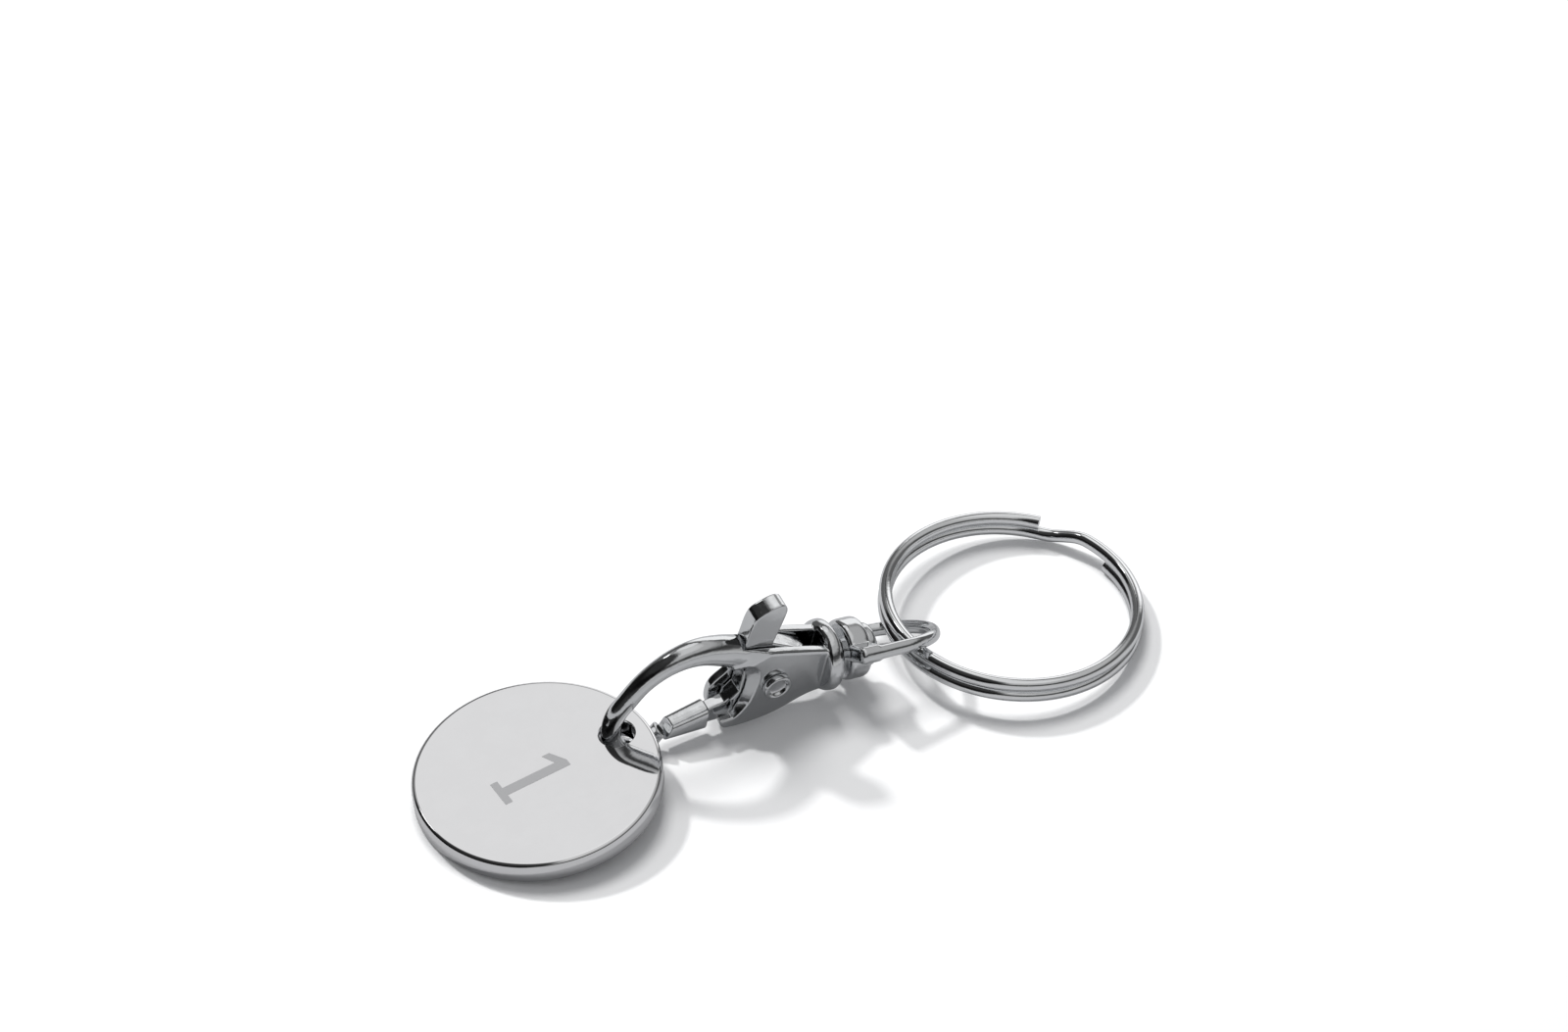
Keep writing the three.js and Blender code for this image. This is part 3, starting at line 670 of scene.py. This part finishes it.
# The two ears are the rounded ends of one bar through the hub
EAR_BEND = math.acos((SWIVEL_RADIUS - EAR_RADIUS) / EAR_OUT)
ears = []
for x, grow in ((1.14, -0.3), (1.25, -0.1), (1.5, 0), (3.05, 0), (3.3, -0.1), (3.41, -0.3)):
    radius = EAR_RADIUS + grow
    ring = []
    for side in (1, -1):
        for i in range(13):
            turn = -EAR_BEND + 2 * EAR_BEND * i / 12
            y = EAR_OUT + radius * math.cos(turn)
            ring.append(Vector((x, side * y, side * radius * math.sin(turn))))
    ears.append(ring)
combine(bail, skin("ears", ears), "UNION")

leg = curve_through([(2.275, LEG_OUT), (4.2, LEG_OUT), (BOW_X, LEG_OUT)], 4)[:-1]
bow = []
for i in range(41):
    turn = math.pi * i / 40
    bow.append(Vector((BOW_X + LEG_OUT * math.sin(turn), LEG_OUT * math.cos(turn))))
other_leg = [Vector((point.x, -point.y)) for point in reversed(leg)]
loop_rings = []
for x, y in leg + bow + other_leg:
    out = Vector((max(x - BOW_X, 0), y, 0)).normalized()
    loop_rings.append(section(Vector((x, y, 0)), out, Z, 0.525, 0.65, 32))
combine(bail, skin("loop", loop_rings), "UNION")
combine(bail, round_swivel("stud_bore", [(0, 1.28), (6, 1.28)]), "DIFFERENCE")
cast(bail)
bail_metal = polished("bail_metal", (0.73, 0.74, 0.75), 0.07, 0.07, 300.0, 0.006)
lay(bail, bail_place, "bail", bail_metal, 60)
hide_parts("swivel_bail")

# ---------------------------------------------------------------- split ring
# Two touching turns of hard round wire with square-cut ends, linked by a short kink.
# They hang in the bail's loop.

RING_WIRE = 1.25
RING_PITCH = 1.27
RING_RADIUS = 11.87
RING_STEPS = 300
FIRST_END, LAST_END = 48.5, 731
KINK = (384, 406)

ring_rings = []
for i in range(RING_STEPS + 1):
    degrees = FIRST_END + (LAST_END - FIRST_END) * i / RING_STEPS
    turn = math.radians(degrees)
    out = Vector((math.cos(turn), math.sin(turn), 0))
    centre = out * RING_RADIUS + Z * RING_PITCH * (0.5 - ease(degrees, *KINK))
    ring_rings.append(section(centre, out, Z, RING_WIRE / 2, RING_WIRE / 2, 32))
ring = skin("ring_wire", ring_rings)
ring_metal = polished("ring_metal", (0.86, 0.87, 0.88), 0.06, 0.02, 300.0, 0.005)
lay(ring, on_axis("ring_turn"), "ring", ring_metal, 50)
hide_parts("split_ring")
